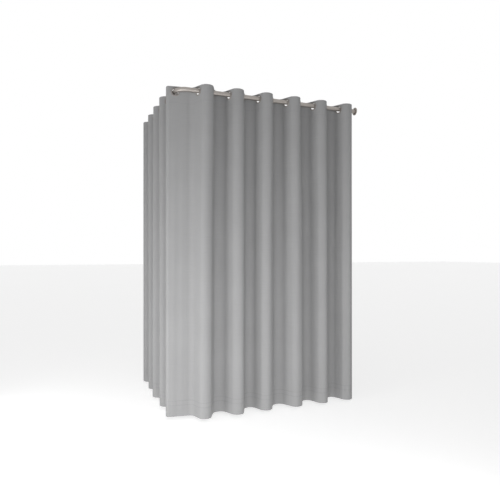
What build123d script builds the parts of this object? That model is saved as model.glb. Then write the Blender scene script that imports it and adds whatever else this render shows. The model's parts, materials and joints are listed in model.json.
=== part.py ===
from build123d import *
import os
from math import atan2, cos, degrees, radians, sin

# An eyelet curtain panel on a round corner rail that turns through a right angle.
# Frame: the origin is the centre of the front wall flange, on the wall's face. The front arm of
# the rail runs along -X from there to the corner, and the side arm runs along +Y from the corner
# to the side wall flange. The rail's axis is at Z = 0, and the curtain hangs down from it.

# ---- driving dimensions, in millimetres and degrees ----
FRONT_LENGTH = 1245.0  # rail corner to the front wall's face, along the rail's axis
SIDE_LENGTH = 1030.0  # rail corner to the side wall's face
RAIL_OD = 28.0
RAIL_WALL = 1.5
BEND_RADIUS = 60.0  # of the rail's axis in the corner
ELBOW_LEG = 20.0  # straight length on each end of the elbow

DROP = 2000.0  # cloth, top edge to bottom edge
TOP_ABOVE_RAIL = 31.0  # top edge of the cloth above the rail's axis
CLOTH = 1.6  # thickness of the cloth with its header
EYELET_PITCH = 152.4  # along the flat cloth, from one eyelet to the next
END_MARGIN = 38.0  # cloth beyond the last eyelet of each arm
CREST_RADIUS = 42.0  # of the cloth at the crest of each fold
CORNER_CREST_RADIUS = 16.0  # of the tighter crest beside the corner eyelet
CORNER_LEAN = -8.0  # of the flat face through the corner eyelet, from the X axis
FOLD_GAP = 2.0  # between one fold's cloth and the next one's, at the crest

FRONT_FIRST, FRONT_LAST, FRONT_COUNT = 127.0, 1211.5, 12  # eyelets of the front arm, from the corner
SIDE_FIRST, SIDE_LAST, SIDE_COUNT = 144.0, 991.5, 9  # eyelets of the side arm, from the corner

EYELET_BORE = 38.0
EYELET_OD = 54.0
EYELET_DROP = 3.0  # centre of a hanging eyelet below the rail's axis
FACE_RING = 2.4  # thickness of the front ring
BACK_RING = 1.6  # thickness of the back ring
BARREL_WALL = 1.0
BARREL_CLEARANCE = 0.4  # between the barrel and the edge of the cloth's hole

FLANGE_OD = 52.0
FLANGE_THICKNESS = 5.0
FLANGE_HOLE = 4.2
FLANGE_HOLE_CIRCLE = 38.0
COUNTERSINK = 8.0
SPIGOT_OD = 24.8
SPIGOT_LENGTH = 22.0
JOINER_LENGTH = 36.0
GRUB_OD = 4.0
GRUB_LENGTH = 4.0

RAIL_BORE = RAIL_OD - 2 * RAIL_WALL
CORNER = Vector(-FRONT_LENGTH, 0, 0)
SIDE_END = Vector(-FRONT_LENGTH, SIDE_LENGTH, 0)


def save(node, *solids):
    """Writes one node: one solid, or a group of like solids."""
    shape = solids[0] if len(solids) == 1 else Compound(children=list(solids))
    shape.label = node
    export_step(shape, f"parts/{node}.step")


# ---- the shape of a fold ----
def fold_angle(spacing):
    """Angle between the rail and the cloth at an eyelet, when the eyelets are this far apart:
    two crest arcs and a straight run add up to the eyelet pitch along the cloth."""
    low, high = 0.1, 1.5
    for _ in range(60):
        angle = (low + high) / 2
        straight = EYELET_PITCH - 2 * CREST_RADIUS * angle
        if 2 * CREST_RADIUS * sin(angle) + straight * cos(angle) > spacing:
            low = angle
        else:
            high = angle
    return degrees(angle)


def straight_run(spacing):
    return EYELET_PITCH - 2 * CREST_RADIUS * radians(fold_angle(spacing))


def crest_offset(spacing):
    """How far a crest stands out from the rail's axis."""
    angle = radians(fold_angle(spacing))
    return CREST_RADIUS * (1 - cos(angle)) + straight_run(spacing) / 2 * sin(angle)


def turned(heading):
    return Vector(cos(radians(heading)), sin(radians(heading)))


def ribbon(start, heading, moves, top, drop):
    """A strip of cloth that stands on edge. Its plan follows moves, which are (length, turn)
    pairs: a straight run where turn is 0, or else an arc that turns that many degrees."""
    left, right, half = [], [], CLOTH / 2
    point = Vector(*start)
    for length, turn in moves:
        if turn == 0:
            end = point + turned(heading) * length
            side = turned(heading + 90) * half
            left.append(Line(point + side, end + side))
            right.append(Line(point - side, end - side))
        else:
            radius = length / radians(turn)
            centre = point + turned(heading + 90) * radius
            for edges, shift in ((left, half), (right, -half)):
                on_arc = [centre + turned(heading + turn * part - 90) * (radius - shift)
                          for part in (0, 0.5, 1)]
                edges.append(ThreePointArc(*on_arc))
            end = centre + turned(heading + turn - 90) * radius
        point, heading = end, heading + turn
    caps = [Line(left[0] @ 0, right[0] @ 0), Line(left[-1] @ 1, right[-1] @ 1)]
    face = Face(Wire([edge.edge() for edge in left + right + caps]))
    strip = extrude(face, amount=drop, dir=(0, 0, -1))
    return Pos(0, 0, top) * strip


def arc(turn, radius=CREST_RADIUS, trim=0.0):
    return (radius * abs(radians(turn)) - trim, turn * (1 - trim / (radius * abs(radians(turn)))))


# ---- eyelets ----
def eyelet(place, heading):
    """The two pressed halves of one eyelet. The cloth runs along heading, and its face side is
    on the left of that."""
    half = CLOTH / 2
    bore, barrel = EYELET_BORE / 2, EYELET_BORE / 2 + BARREL_WALL
    ring = Cylinder(EYELET_OD / 2, FACE_RING, align=(Align.CENTER, Align.CENTER, Align.MIN))
    ring = fillet(ring.edges().group_by(Axis.Z)[-1], FACE_RING * 0.8)
    ring = Pos(0, 0, half) * ring
    tube = Pos(0, 0, -half) * Cylinder(barrel, half * 2, align=(Align.CENTER, Align.CENTER, Align.MIN))
    front = ring + tube - Cylinder(bore, 60)
    front = fillet(front.edges().filter_by(GeomType.CIRCLE).group_by(Axis.Z)[-1].sort_by(
        SortBy.RADIUS)[0], FACE_RING * 0.3)
    back = Cylinder(EYELET_OD / 2 - 1, BACK_RING, align=(Align.CENTER, Align.CENTER, Align.MAX))
    back = fillet(back.edges().group_by(Axis.Z)[0], BACK_RING * 0.6)
    back = Pos(0, 0, -half) * (back - Cylinder(bore, 60))
    normal = turned(heading + 90)
    plane = Plane(origin=place, x_dir=turned(heading), z_dir=normal)
    return plane * front.solid(), plane * back.solid()


def cloth_hole(place, heading):
    cutter = Cylinder(EYELET_BORE / 2 + BARREL_WALL + BARREL_CLEARANCE, 8 * CLOTH)
    return Plane(origin=place, x_dir=turned(heading), z_dir=turned(heading + 90)) * cutter


# ---- one arm's folds ----
def arm(name, first, last, count, to_world, first_lean, numbers_from):
    """Each fold is the cloth from crest to crest about one eyelet, with that eyelet. The plan is
    drawn with x along the rail from the corner and y outwards, and to_world places it."""
    spacing = (last - first) / (count - 1)
    angle, run, offset = fold_angle(spacing), straight_run(spacing), crest_offset(spacing)
    trim = FOLD_GAP / 2
    for i in range(count):
        along = first + i * spacing
        lean = first_lean if i % 2 == 0 else -first_lean
        bent = trim / CREST_RADIUS  # the crest arc that the gap takes away, in radians
        head = lean * degrees(bent)
        start = (along - spacing / 2 + CREST_RADIUS * sin(bent),
                 -lean * (offset - CREST_RADIUS * (1 - cos(bent))))
        moves = [arc(lean * angle, trim=trim), (run, 0), arc(-lean * angle, trim=trim)]
        if i == count - 1:
            moves = moves[:1] + [(run / 2 + END_MARGIN, 0)]
        strip = ribbon(start, head, moves, TOP_ABOVE_RAIL, DROP)
        place = Vector(along, 0, -EYELET_DROP)
        strip -= cloth_hole(place, lean * angle)
        save(f"{name}_cloth_{i + numbers_from:02d}", to_world(strip.solid()))
        save(f"{name}_eyelet_{i + numbers_from:02d}",
             *[to_world(half) for half in eyelet(place, lean * angle)])
    print(name, "spacing", round(spacing, 2), "angle", round(angle, 2), "offset", round(offset, 2),
          "chord", round(degrees(atan2(offset, spacing / 2)), 2))


def on_front(shape):
    """Front arm: x from the corner along +X, y outwards along -Y."""
    return Pos(CORNER) * mirror(shape, Plane.XZ)


def on_side(shape):
    """Side arm: x from the corner along +Y, y outwards along -X."""
    return Pos(CORNER) * Rot(0, 0, 90) * shape


# ---- corner of the curtain, which stays where it is ----
def corner_cloth():
    """From the last crest of the side arm, through the corner eyelet on the bend, to the first
    crest of the front arm. World directions, from the rail's corner."""
    side_step = (SIDE_LAST - SIDE_FIRST) / (SIDE_COUNT - 1)
    front_step = (FRONT_LAST - FRONT_FIRST) / (FRONT_COUNT - 1)
    start_x, start_y = -crest_offset(side_step), SIDE_FIRST - side_step / 2 - FOLD_GAP / 2
    end_x, end_y = FRONT_FIRST - front_step / 2 - FOLD_GAP / 2, crest_offset(front_step)
    lean = radians(CORNER_LEAN)
    turn = 90 + CORNER_LEAN
    # the flat face runs down to a last gentle arc, so its line is worked back from the end
    last = FOLD_GAP / 2 + CREST_RADIUS * abs(2 * sin(lean))
    flat_end_x = end_x - last * sin(lean) / lean
    flat_end_y = end_y - last * (1 - cos(lean)) / lean
    flat_start_x = start_x + CORNER_CREST_RADIUS * (1 - cos(radians(turn)))
    flat_start_y = flat_end_y - (flat_end_x - flat_start_x) * sin(lean) / cos(lean)
    flat = (flat_end_x - flat_start_x) / cos(lean)
    down = start_y - CORNER_CREST_RADIUS * sin(radians(turn)) - flat_start_y
    strip = ribbon((start_x, start_y), -90,
                   [(down, 0), arc(turn, CORNER_CREST_RADIUS), (flat, 0), (last, -CORNER_LEAN)],
                   TOP_ABOVE_RAIL, DROP)
    # the eyelet sits where the flat face crosses the rail, on the elbow's side leg
    place = Vector(0, flat_start_y - flat_start_x * sin(lean) / cos(lean), -EYELET_DROP)
    strip -= cloth_hole(place, CORNER_LEAN)
    print("corner eyelet", round(place.Y, 2), "down", round(down, 2), "flat", round(flat, 2))
    save("corner_cloth", Pos(CORNER) * strip.solid())
    # the outer side of this strip is on the right of its heading
    save("corner_eyelet", *[Pos(CORNER) * half for half in eyelet(place, CORNER_LEAN + 180)])


# ---- rail ----
def tube(start, end):
    direction = (end - start).normalized()
    plane = Plane(origin=start, z_dir=direction)
    length = (end - start).length
    body = Cylinder(RAIL_OD / 2, length, align=(Align.CENTER, Align.CENTER, Align.MIN))
    bore = Cylinder(RAIL_BORE / 2, length, align=(Align.CENTER, Align.CENTER, Align.MIN))
    return plane * (body - bore)


def elbow():
    path = FilletPolyline((BEND_RADIUS + ELBOW_LEG, 0), (0, 0), (0, BEND_RADIUS + ELBOW_LEG),
                          radius=BEND_RADIUS)
    section = Plane(origin=path @ 0, z_dir=path % 0)
    outer = sweep(section * Circle(RAIL_OD / 2), path=path)
    inner = sweep(section * Circle(RAIL_BORE / 2), path=path)
    return Pos(CORNER) * (outer - inner)


def joiner(seam, direction):
    """A solid spigot inside the rail, half on each side of a seam, with its grub screw holes."""
    plane = Plane(origin=seam, z_dir=direction)
    body = plane * Cylinder(SPIGOT_OD / 2, JOINER_LENGTH)
    for screw in grub_places(seam, direction):
        body -= Pos(screw) * Cylinder(GRUB_OD / 2, 2 * GRUB_LENGTH)
    return body


def grub_places(seam, direction):
    return [seam + direction * step + Vector(0, 0, -RAIL_OD / 2)
            for step in (-JOINER_LENGTH / 4, JOINER_LENGTH / 4)]


def with_grub_holes(body, places):
    for screw in places:
        body -= Pos(screw) * Cylinder(GRUB_OD / 2, 2 * GRUB_LENGTH)
    return body


def grub_screw(place):
    """Flush in the underside of the rail, with a hexagon socket."""
    body = Cylinder(GRUB_OD / 2, GRUB_LENGTH, align=(Align.CENTER, Align.CENTER, Align.MIN))
    socket = extrude(RegularPolygon(GRUB_OD / 4, 6), amount=GRUB_LENGTH / 2)
    return Pos(place) * (body - socket)


def wall_flange(wall, inwards):
    """A round plate on the wall, with a spigot that fills the end of the rail and three
    countersunk holes on a circle."""
    plate = Cylinder(FLANGE_OD / 2, FLANGE_THICKNESS, align=(Align.CENTER, Align.CENTER, Align.MIN))
    plate = fillet(plate.edges().group_by(Axis.Z)[-1], FLANGE_THICKNESS * 0.4)
    plate += Cylinder(SPIGOT_OD / 2, FLANGE_THICKNESS + SPIGOT_LENGTH,
                      align=(Align.CENTER, Align.CENTER, Align.MIN))
    sink_depth = (COUNTERSINK - FLANGE_HOLE) / 2
    for k in range(3):
        around = radians(90 + 120 * k)
        spot = Pos(FLANGE_HOLE_CIRCLE / 2 * cos(around), FLANGE_HOLE_CIRCLE / 2 * sin(around), 0)
        plate -= spot * Cylinder(FLANGE_HOLE / 2, 3 * FLANGE_THICKNESS)
        plate -= spot * Pos(0, 0, FLANGE_THICKNESS - sink_depth) * Cone(
            FLANGE_HOLE / 2, COUNTERSINK / 2, sink_depth, align=(Align.CENTER, Align.CENTER, Align.MIN))
    return Plane(origin=wall, x_dir=inwards.cross(Vector(0, 0, 1)), z_dir=inwards) * plate


def rail():
    along_front, along_side = Vector(1, 0, 0), Vector(0, 1, 0)
    front_seam = CORNER + along_front * (BEND_RADIUS + ELBOW_LEG)
    side_seam = CORNER + along_side * (BEND_RADIUS + ELBOW_LEG)
    front_screws, side_screws = grub_places(front_seam, along_front), grub_places(side_seam, along_side)
    front_tube = tube(front_seam, Vector(-FLANGE_THICKNESS, 0, 0))
    side_tube = tube(side_seam, SIDE_END - along_side * FLANGE_THICKNESS)
    save("front_rail_tube", with_grub_holes(front_tube, front_screws[1:]).solid())
    save("side_rail_tube", with_grub_holes(side_tube, side_screws[1:]).solid())
    save("rail_elbow", with_grub_holes(elbow(), [front_screws[0], side_screws[0]]).solid())
    save("front_joiner", joiner(front_seam, along_front).solid())
    save("side_joiner", joiner(side_seam, along_side).solid())
    save("grub_screws", *[grub_screw(place).solid() for place in front_screws + side_screws])
    save("front_wall_flange", wall_flange(Vector(0, 0, 0), Vector(-1, 0, 0)).solid())
    save("side_wall_flange", wall_flange(SIDE_END, Vector(0, -1, 0)).solid())


os.makedirs("parts", exist_ok=True)
rail()
corner_cloth()
arm("front", FRONT_FIRST, FRONT_LAST, FRONT_COUNT, on_front, 1, 2)
arm("side", SIDE_FIRST, SIDE_LAST, SIDE_COUNT, on_side, -1, 1)
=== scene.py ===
# %% [markdown]
# # An eyelet curtain on a corner rail
# This script dresses a CAD model of a curtain. The model gives the rail, the eyelets and plain strips
# of cloth in their true places. Blender adds what CAD leaves plain: one panel of woven cloth in soft
# waves, with its header, hems and stitching, and the finish of the metal.

# %% Load the frame
import json
from math import cos, pi, radians, sin

import bpy
import numpy as np
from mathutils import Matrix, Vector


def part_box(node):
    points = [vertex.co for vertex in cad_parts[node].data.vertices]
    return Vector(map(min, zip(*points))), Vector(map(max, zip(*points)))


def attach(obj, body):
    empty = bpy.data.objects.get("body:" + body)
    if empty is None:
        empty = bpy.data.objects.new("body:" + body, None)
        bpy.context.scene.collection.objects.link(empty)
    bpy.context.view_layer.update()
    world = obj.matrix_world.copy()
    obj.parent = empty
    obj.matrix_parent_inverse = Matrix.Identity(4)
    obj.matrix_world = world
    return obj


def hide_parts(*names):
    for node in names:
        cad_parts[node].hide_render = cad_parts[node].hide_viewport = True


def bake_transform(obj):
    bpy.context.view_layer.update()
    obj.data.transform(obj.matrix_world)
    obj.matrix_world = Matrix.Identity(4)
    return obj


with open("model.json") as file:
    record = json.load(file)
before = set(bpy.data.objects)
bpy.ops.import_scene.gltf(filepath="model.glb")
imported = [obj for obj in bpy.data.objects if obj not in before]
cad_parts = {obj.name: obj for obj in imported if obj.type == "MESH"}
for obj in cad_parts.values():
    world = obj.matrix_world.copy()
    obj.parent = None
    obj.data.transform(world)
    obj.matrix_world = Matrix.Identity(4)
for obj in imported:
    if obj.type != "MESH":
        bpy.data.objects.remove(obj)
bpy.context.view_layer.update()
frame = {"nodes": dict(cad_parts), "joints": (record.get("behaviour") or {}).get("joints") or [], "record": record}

joints = {joint["name"]: joint for joint in frame["joints"]}
mounts = {mount["name"]: mount for mount in frame["record"]["mounts"]}

# %% [markdown]
# ## Where things are
# The rail runs along -X from the front wall to its corner, and along +Y from the corner to the side
# wall. Every place comes from the frame. The side wall's mount gives the corner, and the joints give
# the points where the cloth crosses the rail, because each arm's draw joint lies in its first eyelet
# and its crest joints are one even step apart.

# %% Places from the frame
side_wall = np.array(mounts["side_wall_holes"]["pos_m"])
corner = np.array([side_wall[0], 0.0])
SIDE_COUNT, FRONT_FIRST_NUMBER, FRONT_LAST_NUMBER = 9, 2, 13


def middle(node):
    """The centre of a CAD node's box."""
    low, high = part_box(node)
    return np.array((low + high) / 2)


# the stations of the cloth in order along it: the far end of the side arm, the corner, the front wall
stations = [f"side_{k:02d}" for k in range(SIDE_COUNT, 0, -1)] + ["corner"]
stations += [f"front_{k:02d}" for k in range(FRONT_FIRST_NUMBER, FRONT_LAST_NUMBER + 1)]


def node_of(station, kind):
    """The name of a station's CAD node: side_09 and cloth give side_cloth_09."""
    return "corner_" + kind if station == "corner" else station.replace("_", f"_{kind}_")


def body_of(station):
    return "root" if station == "corner" else station.replace("_", "_fold_")


def step_of(arm, axis):
    """The even step between an arm's crest joints along the rail."""
    crests = [joint["pos_m"][axis] for name, joint in joints.items() if name.startswith(arm + "_crest")]
    return (max(crests) - min(crests)) / (len(crests) - 1)


side_step, front_step = step_of("side", 1), step_of("front", 0)
side_first, front_first = joints["side_draw"]["pos_m"][1], joints["front_draw"]["pos_m"][0]
side_at = [(corner[0], side_first + side_step * k) for k in range(SIDE_COUNT - 1, -1, -1)]
front_at = [(front_first + front_step * k, 0.0) for k in range(FRONT_LAST_NUMBER - FRONT_FIRST_NUMBER + 1)]
eyelet_at = np.array(side_at + [tuple(middle("corner_eyelet")[:2])] + front_at)
cloth_low, cloth_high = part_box("corner_cloth")
CLOTH_TOP, DROP = cloth_high.z, cloth_high.z - cloth_low.z
EYELET_Z = middle("corner_eyelet")[2]
print("corner at", corner.round(3), "cloth", round(DROP, 3), "m, top at", round(CLOTH_TOP, 3))

# %% [markdown]
# ## The plan of the waves
# Seen from above, eyelet cloth is a row of equal waves. It crosses the rail in straight runs and turns
# in round crests, because the stiff header springs open between the eyelets. That could be drawn with
# a sine, but a sine's length doesn't keep to the cloth's. Here the plan is walked along like a road: a
# list of straight runs and arcs, whose heading is a straight-line function of the distance walked.
# The walk keeps the true length of the cloth, and it follows the CAD strips.

# %% The shape of one wave
EYELET_PITCH = 0.1524  # along the cloth
END_MARGIN = 0.038
CREST_RADIUS = 0.042
CORNER_CREST_RADIUS = 0.016
CORNER_LEAN = radians(-8)  # of the flat face through the corner eyelet
FOLD_GAP = 0.002  # between the CAD strips at a crest


def wave(spacing):
    """Lean of the straight run, its length, and how far a crest stands out, for eyelets this far
    apart on the rail. Two arcs of the crest's radius and the run make up one pitch of cloth, and
    their shadow on the rail is the spacing; the lean that does both is found by halving."""
    low, high = 0.1, 1.5
    for _ in range(60):
        lean = (low + high) / 2
        run = EYELET_PITCH - 2 * CREST_RADIUS * lean
        if 2 * CREST_RADIUS * sin(lean) + run * cos(lean) > spacing:
            low = lean
        else:
            high = lean
    return lean, run, CREST_RADIUS * (1 - cos(lean)) + run / 2 * sin(lean)


side_lean, side_run, side_crest = wave(side_step)
front_lean, front_run, front_crest = wave(front_step)
print("crests stand out", round(side_crest * 1000, 1), "and", round(front_crest * 1000, 1), "mm")

# %% The walk along the whole cloth
start_x, start_y = -side_crest, eyelet_at[8, 1] - side_step / 2 - FOLD_GAP / 2
end_x = eyelet_at[10, 0] - corner[0] - front_step / 2 - FOLD_GAP / 2
last = FOLD_GAP / 2 + CREST_RADIUS * abs(2 * sin(CORNER_LEAN))
flat_end = np.array([end_x - last * sin(CORNER_LEAN) / CORNER_LEAN,
                     front_crest - last * (1 - cos(CORNER_LEAN)) / CORNER_LEAN])
corner_turn = pi / 2 + CORNER_LEAN
flat_start_x = start_x + CORNER_CREST_RADIUS * (1 - cos(corner_turn))
flat = (flat_end[0] - flat_start_x) / cos(CORNER_LEAN)
flat_start_y = flat_end[1] - flat * sin(CORNER_LEAN)
down = start_y - CORNER_CREST_RADIUS * sin(corner_turn) - flat_start_y

# (length, turn in radians) of each stretch, from the side arm's far edge to the front wall
walk = [(END_MARGIN + side_run / 2, 0.0)]
for k in range(SIDE_COUNT - 1):
    walk += [(2 * CREST_RADIUS * side_lean, (2 if k % 2 == 0 else -2) * side_lean), (side_run, 0.0)]
walk += [(CREST_RADIUS * side_lean, side_lean), (down + FOLD_GAP / 2, 0.0),
         (CORNER_CREST_RADIUS * corner_turn, corner_turn), (flat, 0.0), (last, -CORNER_LEAN),
         (FOLD_GAP / 2, 0.0), (CREST_RADIUS * front_lean, -front_lean)]
front_count = FRONT_LAST_NUMBER - FRONT_FIRST_NUMBER + 1
for k in range(front_count - 1):
    walk += [(front_run, 0.0), (2 * CREST_RADIUS * front_lean, (2 if k % 2 == 0 else -2) * front_lean)]
walk += [(front_run / 2 + END_MARGIN, 0.0)]

walked = np.concatenate([[0.0], np.cumsum([length for length, turn in walk])])
headings = -pi / 2 - side_lean + np.concatenate([[0.0], np.cumsum([turn for length, turn in walk])])
CLOTH_LENGTH = walked[-1]
fine = np.linspace(0, CLOTH_LENGTH, 14001)
fine_heading = np.interp(fine, walked, headings)
step = fine[1] - fine[0]
mid_heading = (fine_heading[1:] + fine_heading[:-1]) / 2
path = np.stack([np.concatenate([[0.0], np.cumsum(np.cos(mid_heading) * step)]),
                 np.concatenate([[0.0], np.cumsum(np.sin(mid_heading) * step)])], axis=1)
# the walk is laid on the first eyelet, to the nearest sample, and then each eyelet takes the distance
# along the cloth at which the walk comes closest to it
path += eyelet_at[0] - path[np.searchsorted(fine, END_MARGIN)]
gaps = np.linalg.norm(path[:, None, :] - eyelet_at[None, :, :], axis=2)
eyelet_s = fine[gaps.argmin(axis=0)]
print("cloth", round(CLOTH_LENGTH, 3), "m long; farthest eyelet from it",
      round(gaps.min(axis=0).max() * 1000, 2), "mm")

# %% [markdown]
# ## From a plan to hanging cloth
# The header holds the waves to the plan. Below it nothing does, so each fold of real cloth drifts a
# little, some crests open and others close, and soft ripples run down the faces. A cloth simulation
# would do this from a pinned top edge. Here it is a formula of the distance along the cloth and the
# depth below the top.

# %% Slow random curves
def drift(index, seed, steps_per_turn=3.1):
    """A smooth random curve of the eyelet index: three sines whose periods don't share a multiple,
    added and scaled to about one."""
    phases = np.array([1.3, 4.1, 2.2]) * seed
    periods = steps_per_turn * np.array([1.0, 1.71, 0.63])
    weights = np.array([0.55, 0.45, 0.25])
    return sum(w * np.sin(2 * pi * index / p + f) for w, p, f in zip(weights, periods, phases))


def ease(x, low, high):
    """0 below low, 1 above high, and a smooth 3x^2 - 2x^3 between."""
    part = np.clip((x - low) / (high - low), 0, 1)
    return part * part * (3 - 2 * part)


# %% The hanging surface
HEADER = 0.100  # depth of the doubled header
HEM = 0.098  # height of the doubled bottom hem


def hanging(s, depth):
    """The middle of the cloth at a distance s along it and a depth below its top edge. It is the plan
    point, moved along and across the rail by slow random curves that grow with the depth, and along
    the cloth's own normal by a soft ripple."""
    x, y = np.interp(s, fine, path[:, 0]), np.interp(s, fine, path[:, 1])
    heading = np.interp(s, fine, fine_heading)
    index = np.interp(s, eyelet_s, np.arange(len(stations)))
    free = ease(depth, 0.08, 0.9) * (0.55 + 0.45 * depth / DROP)
    arm = -pi / 2 * (1 - ease(index, 8.0, 10.0))  # the way the rail runs here
    swing = np.sin(pi * index)  # +1 on an outward crest, -1 on an inward one
    across = 0.004 * swing * drift(index, 1.0, 4.3) + 0.0025 * drift(index, 2.3, 6.1)
    along = 0.003 * drift(index, 3.7, 3.7) + 0.012 * (np.exp(-((index - 17.5) / 2.0) ** 2)
                                                      - np.exp(-((index - 10.7) / 1.2) ** 2))
    ripple = 0.0011 * np.sin(2 * pi * s / 0.061 + 3 * drift(index, 5.1, 2.9) + 0.8 * depth)
    ripple *= ease(depth, 0.12, 0.7) * (0.6 + 0.4 * drift(index, 7.7, 1.9))
    px = x + free * (along * np.cos(arm) + across * np.sin(arm)) + ripple * np.sin(heading)
    py = y + free * (along * np.sin(arm) - across * np.cos(arm)) - ripple * np.cos(heading)
    return np.stack(np.broadcast_arrays(px, py, CLOTH_TOP - depth), axis=-1)


def facing(s, depth):
    """The cloth's outward unit normal: the cross product of its two tangents, each measured over a
    short step."""
    tiny = 0.0004
    across = hanging(s + tiny, depth) - hanging(s - tiny, depth)
    downward = hanging(s, depth + tiny) - hanging(s, depth - tiny)
    normal = np.cross(downward, across)
    return normal / np.linalg.norm(normal, axis=-1, keepdims=True)


probe = facing(eyelet_s[12], np.array(0.5))
print("a front eyelet's cloth faces", probe.round(2))

# %% [markdown]
# ## Thickness, header and hems
# A real panel isn't one layer all over. The top is turned over a stiff tape, the bottom and the two
# ends are turned up and stitched, and each turned part is on the back. So the front face stays even,
# and the back stands off by a second layer wherever the cloth is doubled. Each stitched row pulls the
# cloth in a little, which is what makes a hem readable from across a room; the cloth's colour is also
# darkened along each row as painted shade in the groove.

# %% Front and back of the cloth
FRONT_LAYER, BACK_LAYER, SECOND_LAYER = 0.00075, 0.00015, 0.0006
STITCH_ROWS = (HEADER - 0.003, DROP - HEM + 0.003, DROP - 0.068)  # depths of the level rows
SIDE_HEM = 0.028  # width of the turned end
PULL = 0.00030  # how far a stitched row pulls each face in
ROW_WIDTH = 0.0022  # half the width of that pull
TURN = 0.0012  # over which the second layer starts
END_ROWS = (SIDE_HEM - 0.003, CLOTH_LENGTH - SIDE_HEM + 0.003)  # the rows that run down the turned ends


def groove(depth, s):
    """1 on a stitched row and 0 away from it: a narrow bell round each row's depth."""
    rows = sum(np.exp(-((depth - row) / ROW_WIDTH) ** 2) for row in STITCH_ROWS)
    ends = sum(np.exp(-((s - at) / ROW_WIDTH) ** 2) for at in END_ROWS)
    return np.minimum(rows + ends, 1)


def doubled(depth, s):
    """1 where the cloth is turned back on itself, 0 elsewhere."""
    level = np.maximum(ease(-depth, -HEADER, -HEADER + TURN), ease(depth, DROP - HEM, DROP - HEM + TURN))
    ends = np.maximum(ease(-s, -SIDE_HEM, -SIDE_HEM + TURN),
                      ease(s, CLOTH_LENGTH - SIDE_HEM, CLOTH_LENGTH - SIDE_HEM + TURN))
    return np.maximum(level, ends)


# %% A strip of cloth as a closed shell
HOLE_RADIUS = 0.0235  # of the cloth round an eyelet, under its rings


def closed_shell(front, back, keep):
    """Vertices and faces of a shell from two grids of points: the kept cells of the front, the same
    cells of the back turned over, and a wall along every edge that only one kept cell uses."""
    rows, columns = front.shape[:2]
    ids = np.arange(rows * columns).reshape(rows, columns)
    cells = np.stack([ids[:-1, :-1], ids[1:, :-1], ids[1:, 1:], ids[:-1, 1:]], axis=-1)[keep]
    edges = np.concatenate([cells[:, [k, (k + 1) % 4]] for k in range(4)])
    key = np.sort(edges, axis=1)
    _, first, uses = np.unique(key, axis=0, return_index=True, return_counts=True)
    rim = edges[first[uses == 1]]
    shift = rows * columns
    walls = np.stack([rim[:, 1], rim[:, 0], rim[:, 0] + shift, rim[:, 1] + shift], axis=1)
    faces = np.concatenate([cells, cells[:, ::-1] + shift, walls])
    points = np.concatenate([front.reshape(-1, 3), back.reshape(-1, 3)])
    used = np.unique(faces)
    renumber = np.zeros(len(points), int)
    renumber[used] = np.arange(len(used))
    return points[used], renumber[faces], used % shift, len(cells) * 2


def level_rows():
    """Depths of the grid's rows: even ones, with extra rows where a hem starts or a row is stitched."""
    even = np.concatenate([np.linspace(0, 0.09, 34), np.linspace(0.09, DROP, 141)])
    extra = [0.0003, 0.0008, DROP - 0.0003, DROP - 0.0008]
    extra += [HEADER, HEADER - TURN, DROP - HEM, DROP - HEM + TURN]
    for row in STITCH_ROWS:
        extra += [row - 0.005, row - ROW_WIDTH, row, row + ROW_WIDTH, row + 0.005]
    rows = np.unique(np.round(np.concatenate([even, extra]), 6))
    return rows[np.concatenate([[True], np.diff(rows) > 0.00025])]


def strip_columns(s_from, s_to):
    """Distances of the grid's columns: even ones about 3 mm apart, closer at a turned end."""
    even = np.linspace(s_from, s_to, int(round((s_to - s_from) / 0.0033)) + 1)
    insets = (0.0003, 0.0008, SIDE_HEM - 0.008, SIDE_HEM - 0.0052, SIDE_HEM - 0.003,
              SIDE_HEM - TURN, SIDE_HEM)
    extra = [at for inset in insets for at in (inset, CLOTH_LENGTH - inset) if s_from < at < s_to]
    columns = np.sort(np.concatenate([even, extra]))
    apart = np.diff(columns) > 0.00025
    return columns[np.concatenate([[True], apart[:-1], [True]])]


print(len(level_rows()), "rows and", len(strip_columns(0.2, 0.2 + EYELET_PITCH)), "columns a strip")

# %% [markdown]
# ## Stitches
# A lockstitch row is a line of short threads, each a little proud of the cloth and dipping at both
# ends. They are made as real threads, but each has few sides and few rings, because there are
# thousands of them.

# %% One row of stitches
STITCH_LENGTH, STITCH_GAP, THREAD_RADIUS = 0.0036, 0.0010, 0.00032
RING_RADIUS = 0.027  # of the eyelet's rings, which cover the cloth


def stitch_tubes(centres, along, outward, side):
    """Threads as five-sided tubes of four rings. A ring's place along the stitch is x from -1 to 1; its
    height over the cloth is 1 - x^2 of the thread's radius, and its own radius shrinks to the ends."""
    x = np.array([-1.0, -0.45, 0.45, 1.0])
    around = 2 * pi * np.arange(5) / 5
    radius = THREAD_RADIUS * np.array([0.35, 1.0, 1.0, 0.35])
    lift = THREAD_RADIUS * (1 - x * x) - 0.00012
    ring_out = lift[:, None] + radius[:, None] * np.sin(around)[None, :]
    ring_side = radius[:, None] * np.cos(around)[None, :]
    ring_along = np.repeat((x * STITCH_LENGTH / 2)[:, None], 5, axis=1)
    points = (centres[:, None, None, :] + ring_along[None, :, :, None] * along[:, None, None, :]
              + ring_out[None, :, :, None] * outward[:, None, None, :]
              + ring_side[None, :, :, None] * side[:, None, None, :])
    ring = np.arange(5)
    quads = np.concatenate([np.stack([5 * k + ring, 5 * k + (ring + 1) % 5, 5 * (k + 1) + (ring + 1) % 5,
                                      5 * (k + 1) + ring], axis=1) for k in range(3)])
    starts = 20 * np.arange(len(centres))
    return points.reshape(-1, 3), (quads[None] + starts[:, None, None]).reshape(-1, 4)


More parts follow.
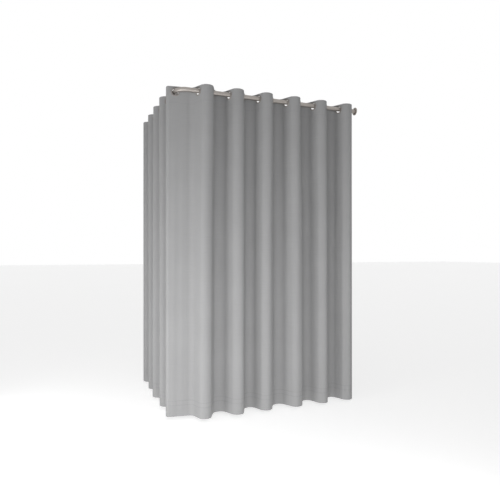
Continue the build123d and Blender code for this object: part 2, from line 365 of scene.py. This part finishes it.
def laid_on_face(s, depth, ahead, sign):
    """Stitches on the front (sign 1) or back (-1) of the cloth, each along the direction ahead."""
    ahead /= np.linalg.norm(ahead, axis=1, keepdims=True)
    outward = facing(s, depth) * sign
    cover = FRONT_LAYER if sign > 0 else BACK_LAYER + SECOND_LAYER * doubled(depth, s)
    at = hanging(s, depth) + outward * (cover - PULL * groove(depth, s))[:, None]
    return stitch_tubes(at, ahead, outward, np.cross(outward, ahead))


def level_stitches(s_from, s_to, row, sign):
    """The stitches of one level row that lie on this strip."""
    pitch = STITCH_LENGTH + STITCH_GAP
    s = np.arange(np.ceil(s_from / pitch), np.floor(s_to / pitch)) * pitch + pitch / 2
    s = s[(s > 0.004) & (s < CLOTH_LENGTH - 0.004)]
    depth = np.full_like(s, row)
    return laid_on_face(s, depth, hanging(s + 0.001, depth) - hanging(s - 0.001, depth), sign)


def end_stitches(at_s, sign):
    """The stitches of a turned end, which run down the cloth and stop short of the eyelet's rings."""
    pitch = STITCH_LENGTH + STITCH_GAP
    depth = np.arange(0.006, DROP - 0.006, pitch)
    beside = np.abs(eyelet_s - at_s).min()
    depth = depth[np.hypot(depth - (CLOTH_TOP - EYELET_Z), beside) > RING_RADIUS + pitch]
    s = np.full_like(depth, at_s)
    return laid_on_face(s, depth, hanging(s, depth + 0.001) - hanging(s, depth - 0.001), sign)


# %% [markdown]
# ## The whole panel, strip by strip
# The curtain is one cloth, but it hangs on hinged bodies, one for each eyelet. So it is cut into
# strips in the straight cloth just past each eyelet, where nothing bends, and each strip crosses one
# crest. The corner strip is put on the root body and the others stay where they are made. The
# strips are points of one surface, with its own normals, so no seam shows between them.

# %% Where each strip starts and ends
SEAM = 0.030  # from an eyelet's centre along the cloth, just past its ring
CREST_BEND = 0.024  # each side of a crest, along the rail, the cloth bends
RING_HALF_DEPTH = 0.016  # of a leaning eyelet along the rail

# (piece, its station, start and end along the cloth, the two bodies, and the points between which it bends)
strips = []
for i, station in enumerate(stations):
    here, body = eyelet_s[i], body_of(station)
    if station == "corner":
        strips.append((node_of(station, "fabric"), station, here - SEAM, here + SEAM, None, None))
        continue
    inner = 1 if station.startswith("side") else -1  # towards the corner
    near = stations[i + inner]
    far_end = here - inner * SEAM
    if station in (stations[0], stations[-1]):
        far_end = 0.0 if inner == 1 else CLOTH_LENGTH
    near_end = eyelet_s[i + inner] - inner * SEAM
    way = np.array([0.0, 1.0]) if inner == 1 else np.array([1.0, 0.0])  # away from the corner
    if near == "corner":
        spot = np.array([np.interp(near_end, fine, path[:, k]) for k in (0, 1)])
        bend = (spot + 0.002 * way, eyelet_at[i] - RING_HALF_DEPTH * way)
    else:
        crest = (eyelet_at[i] + eyelet_at[i + inner]) / 2
        bend = (crest - CREST_BEND * way, crest + CREST_BEND * way)
    strips.append((node_of(station, "fabric"), station, min(far_end, near_end), max(far_end, near_end),
                   (body_of(near), body), bend))
print(len(strips), "strips,", round(sum(s[3] - s[2] for s in strips), 4), "m of", round(CLOTH_LENGTH, 4))


# %% Points and normals of the two faces
def rounding(s, depth):
    """1 away from the panel's edges, less within 0.8 mm of one, so that each edge is round: the height
    of a circle over the distance in from the edge."""
    inset = np.minimum(np.minimum(depth, DROP - depth), np.minimum(s, CLOTH_LENGTH - s))
    part = np.clip(inset / 0.0008, 0, 1)
    return 0.3 + 0.7 * np.sqrt(1 - (1 - part) ** 2)


def face_point(s, depth, sign):
    """A point of the front (1) or the back (-1): the middle of the cloth, moved along its normal."""
    cover = FRONT_LAYER if sign > 0 else BACK_LAYER + SECOND_LAYER * doubled(depth, s)
    cover = (cover - PULL * groove(depth, s)) * rounding(s, depth)
    return hanging(s, depth) + sign * cover[..., None] * facing(s, depth)


def face_normal(s, depth, sign):
    """The face's own unit normal, from two short steps over it."""
    tiny = 0.0005
    across = face_point(s + tiny, depth, sign) - face_point(s - tiny, depth, sign)
    downward = face_point(s, depth + tiny, sign) - face_point(s, depth - tiny, sign)
    normal = np.cross(downward, across) * sign
    return normal / np.linalg.norm(normal, axis=-1, keepdims=True)


# %% Mesh of one strip
def mesh_of(name, points, faces, uv, shade=None, normals=None, walls_from=None):
    """A smooth mesh with a UV map of distance along the cloth and height, in metres. The faces from
    number walls_from on are the thin walls round the shell, which meet the rest at sharp edges."""
    mesh = bpy.data.meshes.new(name)
    mesh.from_pydata(points, [], faces)
    loops = np.zeros(len(mesh.loops), int)
    mesh.loops.foreach_get("vertex_index", loops)
    mesh.uv_layers.new(name="Cloth").data.foreach_set("uv", uv[loops].ravel())
    mesh.shade_smooth()
    # The painted shade of the stitched rows is stored per point, for the cloth's colour to read.
    if shade is not None:
        mesh.attributes.new("Painted groove shade", "FLOAT", "POINT").data.foreach_set("value", shade.astype(np.float32))
    if normals is not None:
        corner_normals = normals[loops].copy()
        corner_normals[4 * walls_from:] = 0
        mesh.normals_split_custom_set(corner_normals)
    obj = bpy.data.objects.new(name, mesh)
    bpy.context.scene.collection.objects.link(obj)
    return obj


def fabric_strip(name, station, s_from, s_to):
    """One strip: a grid of the cloth with a round hole for its eyelet, front and back, closed."""
    s, depth = np.meshgrid(strip_columns(s_from, s_to), level_rows())
    centre = (eyelet_s[stations.index(station)], CLOTH_TOP - EYELET_Z)
    away = np.stack([s - centre[0], depth - centre[1]], axis=-1)
    reach = np.linalg.norm(away, axis=-1)
    inside = reach < HOLE_RADIUS
    cut = inside[:-1, :-1] | inside[1:, :-1] | inside[1:, 1:] | inside[:-1, 1:]
    rim = np.zeros_like(inside)
    for rows in (slice(0, -1), slice(1, None)):
        for columns in (slice(0, -1), slice(1, None)):
            rim[rows, columns] |= cut
    rim &= ~inside  # the corners of the cut cells that the hole leaves move in to its circle
    s = np.where(rim, centre[0] + away[..., 0] / reach * HOLE_RADIUS, s)
    depth = np.where(rim, centre[1] + away[..., 1] / reach * HOLE_RADIUS, depth)
    faces_of, normals_of = [], []
    for sign in (1, -1):
        faces_of.append(face_point(s, depth, sign))
        normals_of.append(face_normal(s, depth, sign).reshape(-1, 3))
    points, faces, source, shell_faces = closed_shell(faces_of[0], faces_of[1], ~cut)
    uv = np.stack([s.ravel(), (DROP - depth).ravel()], axis=1)
    used = source + (np.arange(len(source)) >= (source.size // 2)) * s.size
    normals = np.concatenate(normals_of)[used]
    # Painted shade along the stitched rows, per point, for the colour; it is weaker on the header's row.
    shade = (groove(depth, s) * np.where(depth < 2 * HEADER, 0.4, 1.0)).ravel()[source]
    return mesh_of(name, points, faces, uv[source], shade, normals, shell_faces)


def stitching(name, s_from, s_to):
    """All the stitches of one strip, on both faces."""
    parts = []
    for sign in (1, -1):
        parts += [level_stitches(s_from, s_to, row, sign) for row in STITCH_ROWS]
        parts += [end_stitches(row, sign) for row in END_ROWS if s_from <= row <= s_to]
    starts = np.cumsum([0] + [len(points) for points, faces in parts])
    points = np.concatenate([points for points, faces in parts])
    faces = np.concatenate([part[1] + start for part, start in zip(parts, starts)])
    return mesh_of(name, points, faces, points[:, [0, 2]])


fabric, threads = [], []
for name, station, s_from, s_to, bodies, bend in strips:
    cloth = fabric_strip(name, station, s_from, s_to)
    stitches = stitching(name.replace("fabric", "stitching"), s_from, s_to)
    for piece in (cloth, stitches):
        if bodies is None:
            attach(piece, "root")
        else:
            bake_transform(piece)
    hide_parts(node_of(station, "cloth"))
    fabric.append(cloth)
    threads.append(stitches)
print(sum(len(o.data.polygons) for o in fabric), "faces of cloth and",
      sum(len(o.data.polygons) for o in threads), "of thread")

# %% [markdown]
# ## Finishes
# The cloth is a plain weave: warp threads down, weft threads across, each going over and under the
# other. From a step away only the slight unevenness of the yarn shows, as faint streaks both ways.
# A picture of cloth would do, but a formula of the cloth's own UV map has no seams and no fixed
# resolution. It is a node group, because cloth and thread both use it.

# %% Node helpers
def node(tree, kind, inputs=None, **settings):
    """A new node with its settings, and its inputs set to values or linked from sockets."""
    made = tree.nodes.new("ShaderNode" + kind)
    for name, value in settings.items():
        setattr(made, name, value)
    for key, value in (inputs or {}).items():
        if isinstance(value, bpy.types.NodeSocket):
            tree.links.new(value, made.inputs[key])
        else:
            made.inputs[key].default_value = value
    return made


def maths(tree, operation, *values, clamp=False):
    return node(tree, "Math", dict(enumerate(values)), operation=operation, use_clamp=clamp).outputs[0]


def group(name, sockets_in, sockets_out):
    """An empty shader node group with these inputs, (name, type, default), and outputs."""
    tree = bpy.data.node_groups.new(name, "ShaderNodeTree")
    for socket, kind, default in sockets_in:
        tree.interface.new_socket(socket, in_out="INPUT", socket_type=kind).default_value = default
    for socket, kind in sockets_out:
        tree.interface.new_socket(socket, in_out="OUTPUT", socket_type=kind)
    return tree, tree.nodes.new("NodeGroupInput").outputs, tree.nodes.new("NodeGroupOutput").inputs


# %% Weave group
def weave_group():
    """Height and tone of a plain weave. Height: warp and weft are rows of rounded threads, sin squared
    across each, and which lies on top alternates like a chessboard. Tone: long soft streaks of thick
    and thin yarn along both ways, and a broad cloudiness."""
    tree, given, out = group(
        "Plain weave",
        [("Vector", "NodeSocketVector", (0, 0, 0)), ("Threads per metre", "NodeSocketFloat", 1800.0)],
        [("Height", "NodeSocketFloat"), ("Tone", "NodeSocketFloat"), ("Fuzz", "NodeSocketFloat")])
    jitter = node(tree, "TexNoise", {"Vector": given["Vector"], "Scale": 60.0, "Detail": 2.0})
    shift = maths(tree, "MULTIPLY", maths(tree, "SUBTRACT", jitter.outputs["Fac"], 0.5), 0.0012)
    uv = node(tree, "SeparateXYZ", {0: given["Vector"]})
    u = maths(tree, "MULTIPLY", maths(tree, "ADD", uv.outputs["X"], shift), given["Threads per metre"])
    v = maths(tree, "MULTIPLY", maths(tree, "ADD", uv.outputs["Y"], shift), given["Threads per metre"])
    warp = maths(tree, "ABSOLUTE", maths(tree, "SINE", maths(tree, "MULTIPLY", u, pi)))
    weft = maths(tree, "ABSOLUTE", maths(tree, "SINE", maths(tree, "MULTIPLY", v, pi)))
    # the chessboard: the two floors' sum is even where the warp is on top
    squares = maths(tree, "ADD", maths(tree, "FLOOR", u), maths(tree, "FLOOR", v))
    odd = maths(tree, "FLOORED_MODULO", squares, 2.0)
    over = node(tree, "Mix", {"Factor": odd, "A": warp, "B": weft}).outputs[0]
    tree.links.new(maths(tree, "MULTIPLY", over, maths(tree, "MAXIMUM", warp, weft)), out["Height"])
    tones = []
    for stretch in ((900.0, 7.0, 1.0), (7.0, 900.0, 1.0)):
        way = node(tree, "VectorMath", {0: given["Vector"], 1: stretch}, operation="MULTIPLY")
        yarn = node(tree, "TexNoise", {"Vector": way.outputs[0], "Scale": 1.0, "Detail": 3.0, "Roughness": 0.6})
        tones.append(yarn.outputs["Fac"])
    cloud = node(tree, "TexNoise", {"Vector": given["Vector"], "Scale": 5.0, "Detail": 3.0})
    yarns = maths(tree, "MULTIPLY", maths(tree, "ADD", *tones), 0.5)
    tone = maths(tree, "ADD", maths(tree, "MULTIPLY", yarns, 0.75),
                 maths(tree, "MULTIPLY", cloud.outputs["Fac"], 0.25))
    tree.links.new(tone, out["Tone"])
    fuzz = node(tree, "TexNoise", {"Vector": given["Vector"], "Scale": 2600.0, "Detail": 1.0})
    tree.links.new(fuzz.outputs["Fac"], out["Fuzz"])
    return tree


WEAVE = weave_group()


def mixed_colour(tree, factor, dark, light, low=0.3, high=0.7):
    """A colour between dark and light as the factor goes from low to high."""
    spread = node(tree, "MapRange", {"Value": factor, "From Min": low, "From Max": high})
    return node(tree, "Mix", {"Factor": spread.outputs[0], 6: (*dark, 1), 7: (*light, 1)},
                data_type="RGBA").outputs[2]


# %% Cloth and thread
def woven(name, dark, light, threads_per_metre, bump):
    """A matt woven finish. Sheen gives the soft lighter rim of fine fibres seen against the light."""
    made = bpy.data.materials.new(name)
    made.use_nodes = True
    tree = made.node_tree
    shader = tree.nodes["Principled BSDF"]
    uv = node(tree, "UVMap", uv_map="Cloth")
    weave = node(tree, "Group", node_tree=WEAVE)
    tree.links.new(uv.outputs[0], weave.inputs["Vector"])
    weave.inputs["Threads per metre"].default_value = threads_per_metre
    plain = mixed_colour(tree, weave.outputs["Tone"], dark, light)
    # Painted shade: the colour is darkened along each stitched row, towards 0.45 of the dark tone, as if the
    # groove lay in shadow.
    groove_shade_mask = node(tree, "Attribute", attribute_name="Painted groove shade")
    shaded = node(tree, "Mix", {"Factor": maths(tree, "MULTIPLY", groove_shade_mask.outputs["Fac"], 0.16), 6: plain,
                                7: (dark[0] * 0.45, dark[1] * 0.45, dark[2] * 0.45, 1)}, data_type="RGBA")
    tree.links.new(shaded.outputs[2], shader.inputs["Base Color"])
    rough = node(tree, "MapRange", {"Value": weave.outputs["Fuzz"], "To Min": 0.78, "To Max": 0.96})
    tree.links.new(rough.outputs[0], shader.inputs["Roughness"])
    height = maths(tree, "ADD", weave.outputs["Height"], maths(tree, "MULTIPLY", weave.outputs["Tone"], 1.5))
    bumped = node(tree, "Bump", {"Height": height, "Strength": bump, "Distance": 0.0002})
    tree.links.new(bumped.outputs[0], shader.inputs["Normal"])
    shader.inputs["Sheen Weight"].default_value = 0.08
    shader.inputs["Sheen Roughness"].default_value = 0.5
    shader.inputs["Specular IOR Level"].default_value = 0.25
    return made


CLOTH_GREY = woven("Grey woven cloth", (0.265, 0.265, 0.267), (0.318, 0.318, 0.320), 1800.0, 0.35)
THREAD_GREY = woven("Grey sewing thread", (0.25, 0.25, 0.253), (0.33, 0.33, 0.333), 9000.0, 0.3)
for piece in fabric:
    piece.data.materials.append(CLOTH_GREY)
for piece in threads:
    piece.data.materials.append(THREAD_GREY)
print("cloth finish on", len(fabric), "strips")

# %% [markdown]
# ## Metal and plastic
# The rail is a plated steel tube with a satin surface: fine lines left by the polishing belt, a little
# uneven gloss, and small dull marks scattered over it. The eyelets are pressed from thinner
# sheet and lacquered grey. One group gives grain and wear, and each finish has its own values.

# %% Grain and wear group
def grain_group():
    """Grain is noise drawn out long along one way. Smudge is broad noise, for uneven gloss. Specks are
    the highest peaks of a fine noise, for small dull marks."""
    tree, given, out = group(
        "Grain and wear",
        [("Stretch", "NodeSocketVector", (8, 900, 900)), ("Speck size", "NodeSocketFloat", 700.0)],
        [("Grain", "NodeSocketFloat"), ("Smudge", "NodeSocketFloat"), ("Specks", "NodeSocketFloat")])
    place = node(tree, "TexCoord").outputs["Object"]
    way = node(tree, "VectorMath", {0: place, 1: given["Stretch"]}, operation="MULTIPLY")
    grain = node(tree, "TexNoise", {"Vector": way.outputs[0], "Scale": 1.0, "Detail": 4.0, "Roughness": 0.65})
    tree.links.new(grain.outputs["Fac"], out["Grain"])
    smudge = node(tree, "TexNoise", {"Vector": place, "Scale": 22.0, "Detail": 5.0, "Roughness": 0.6})
    tree.links.new(smudge.outputs["Fac"], out["Smudge"])
    fine_noise = node(tree, "TexNoise", {"Vector": place, "Scale": given["Speck size"], "Detail": 2.0})
    specks = node(tree, "MapRange", {"Value": fine_noise.outputs["Fac"], "From Min": 0.62, "From Max": 0.72})
    tree.links.new(specks.outputs[0], out["Specks"])
    return tree


GRAIN = grain_group()


def worn(name, dark, light, metal, rough, stretch, bump):
    """A metal or plastic finish: colour by smudge, roughness by grain and smudge, dull specks."""
    made = bpy.data.materials.new(name)
    made.use_nodes = True
    tree = made.node_tree
    shader = tree.nodes["Principled BSDF"]
    marks = node(tree, "Group", node_tree=GRAIN)
    marks.inputs["Stretch"].default_value = stretch
    tree.links.new(mixed_colour(tree, marks.outputs["Smudge"], dark, light), shader.inputs["Base Color"])
    gloss = maths(tree, "ADD", maths(tree, "MULTIPLY", marks.outputs["Grain"], 0.5),
                  maths(tree, "MULTIPLY", marks.outputs["Smudge"], 0.5))
    base = node(tree, "MapRange", {"Value": gloss, "From Min": 0.3, "From Max": 0.7,
                                   "To Min": rough[0], "To Max": rough[1]})
    dull = maths(tree, "MULTIPLY_ADD", marks.outputs["Specks"], 0.2, base.outputs[0], clamp=True)
    tree.links.new(dull, shader.inputs["Roughness"])
    bumped = node(tree, "Bump", {"Height": marks.outputs["Grain"], "Strength": bump, "Distance": 0.0001})
    tree.links.new(bumped.outputs[0], shader.inputs["Normal"])
    shader.inputs["Metallic"].default_value = metal
    return made


RAIL_FRONT = worn("Satin nickel along X", (0.31, 0.286, 0.266), (0.38, 0.352, 0.328),
    1.0, (0.42, 0.58), (8, 1200, 1200), 0.25)
RAIL_SIDE = worn("Satin nickel along Y", (0.31, 0.286, 0.266), (0.38, 0.352, 0.328),
    1.0, (0.42, 0.58), (1200, 8, 1200), 0.25)
EYELET_METAL = worn("Grey lacquered eyelet", (0.20, 0.185, 0.175), (0.27, 0.252, 0.24),
    0.0, (0.38, 0.55), (350, 350, 350), 0.3)
FLANGE_METAL = worn("Plated flange", (0.36, 0.33, 0.30), (0.46, 0.42, 0.39),
    1.0, (0.26, 0.42), (500, 500, 500), 0.3)
SCREW_STEEL = worn("Screw steel", (0.20, 0.20, 0.21), (0.30, 0.30, 0.31),
    1.0, (0.32, 0.5), (900, 900, 900), 0.3)
JOINER_PLASTIC = worn("Moulded joiner plastic", (0.035, 0.035, 0.036), (0.055, 0.055, 0.056),
    0.0, (0.45, 0.6), (400, 400, 400), 0.2)

FINISHES = {"front_rail": RAIL_FRONT, "side_rail": RAIL_SIDE, "rail_elbow": RAIL_FRONT, "eyelet": EYELET_METAL,
            "flange": FLANGE_METAL, "joiner": JOINER_PLASTIC, "screws": SCREW_STEEL}
dressed = 0
for name, obj in frame["nodes"].items():
    finish = next((made for part, made in FINISHES.items() if part in name), None)
    if finish is not None:
        obj.data.materials.clear()
        obj.data.materials.append(finish)
        dressed += 1
print(dressed, "CAD nodes have a finish")

# %% [markdown]
# ## Floor, light and camera
# Folds read by the light that grazes them. Here the cloth hangs over a plain pale floor. A soft light
# from the left brushes along the front and leaves each valley in shade, a low one in front lifts the
# hem, a third reaches the side arm, and an even white surround fills the rest.

# %% Floor
FLOOR_Z = CLOTH_TOP - DROP - 0.02
floor_mesh = bpy.data.meshes.new("floor")
floor_corners = [(-40, -40, FLOOR_Z), (40, -40, FLOOR_Z), (40, 40, FLOOR_Z), (-40, 40, FLOOR_Z)]
floor_mesh.from_pydata(floor_corners, [], [(0, 1, 2, 3)])
floor = bpy.data.objects.new("floor", floor_mesh)
bpy.context.scene.collection.objects.link(floor)
floor_white = bpy.data.materials.new("Pale floor")
floor_white.use_nodes = True
floor_inputs = floor_white.node_tree.nodes["Principled BSDF"].inputs
floor_inputs["Base Color"].default_value = (0.9, 0.9, 0.9, 1)
floor_inputs["Roughness"].default_value = 0.9
floor_inputs["Emission Color"].default_value = (1, 1, 1, 1)
floor_inputs["Emission Strength"].default_value = 0.6
floor_mesh.materials.append(floor_white)


# %% Lights
def soft_light(name, at, towards, size, power):
    """An area light, size (width, height), that faces a point and isn't seen itself."""
    lamp = bpy.data.lights.new(name, "AREA")
    lamp.shape = "RECTANGLE"
    lamp.size, lamp.size_y = size
    lamp.energy = power
    obj = bpy.data.objects.new(name, lamp)
    obj.location = at
    obj.rotation_euler = (Vector(towards) - Vector(at)).to_track_quat("-Z", "Y").to_euler()
    obj.visible_camera = False
    bpy.context.scene.collection.objects.link(obj)


soft_light("front", (-1.3, -1.8, -1.8), (-0.95, 0.0, -1.7), (1.5, 0.3), 21)
soft_light("left", (-3.15, -0.95, -1.65), (-1.1, 0.1, -1.55), (0.8, 0.6), 24)
soft_light("side arm", (-2.6, 0.3, -1.75), (-1.3, 0.2, -1.45), (0.6, 0.6), 5)
world = bpy.data.worlds.new("studio")
bpy.context.scene.world = world
world.use_nodes = True
surround = world.node_tree
rays = node(surround, "LightPath")
seen = maths(surround, "MAXIMUM", rays.outputs["Is Camera Ray"], rays.outputs["Is Glossy Ray"])
level = node(surround, "MapRange", {"Value": seen, "To Min": 0.26, "To Max": 1.0})
surround.nodes["Background"].inputs["Color"].default_value = (1, 1, 1, 1)
surround.links.new(level.outputs[0], surround.nodes["Background"].inputs["Strength"])

# %% Camera
YAW = radians(-21.81)
lens = bpy.data.cameras.new("camera")
lens.lens, lens.sensor_width = 33.96, 36.0
lens.shift_y = 0.0058
lens.clip_start, lens.clip_end = 0.05, 100
camera = bpy.data.objects.new("camera", lens)
camera.location = (-1.8856, -2.7591, CLOTH_TOP - 1.0085)
camera.rotation_euler = (pi / 2, 0, YAW)
bpy.context.scene.collection.objects.link(camera)
bpy.context.scene.camera = camera
bpy.context.scene.view_settings.view_transform = "Standard"
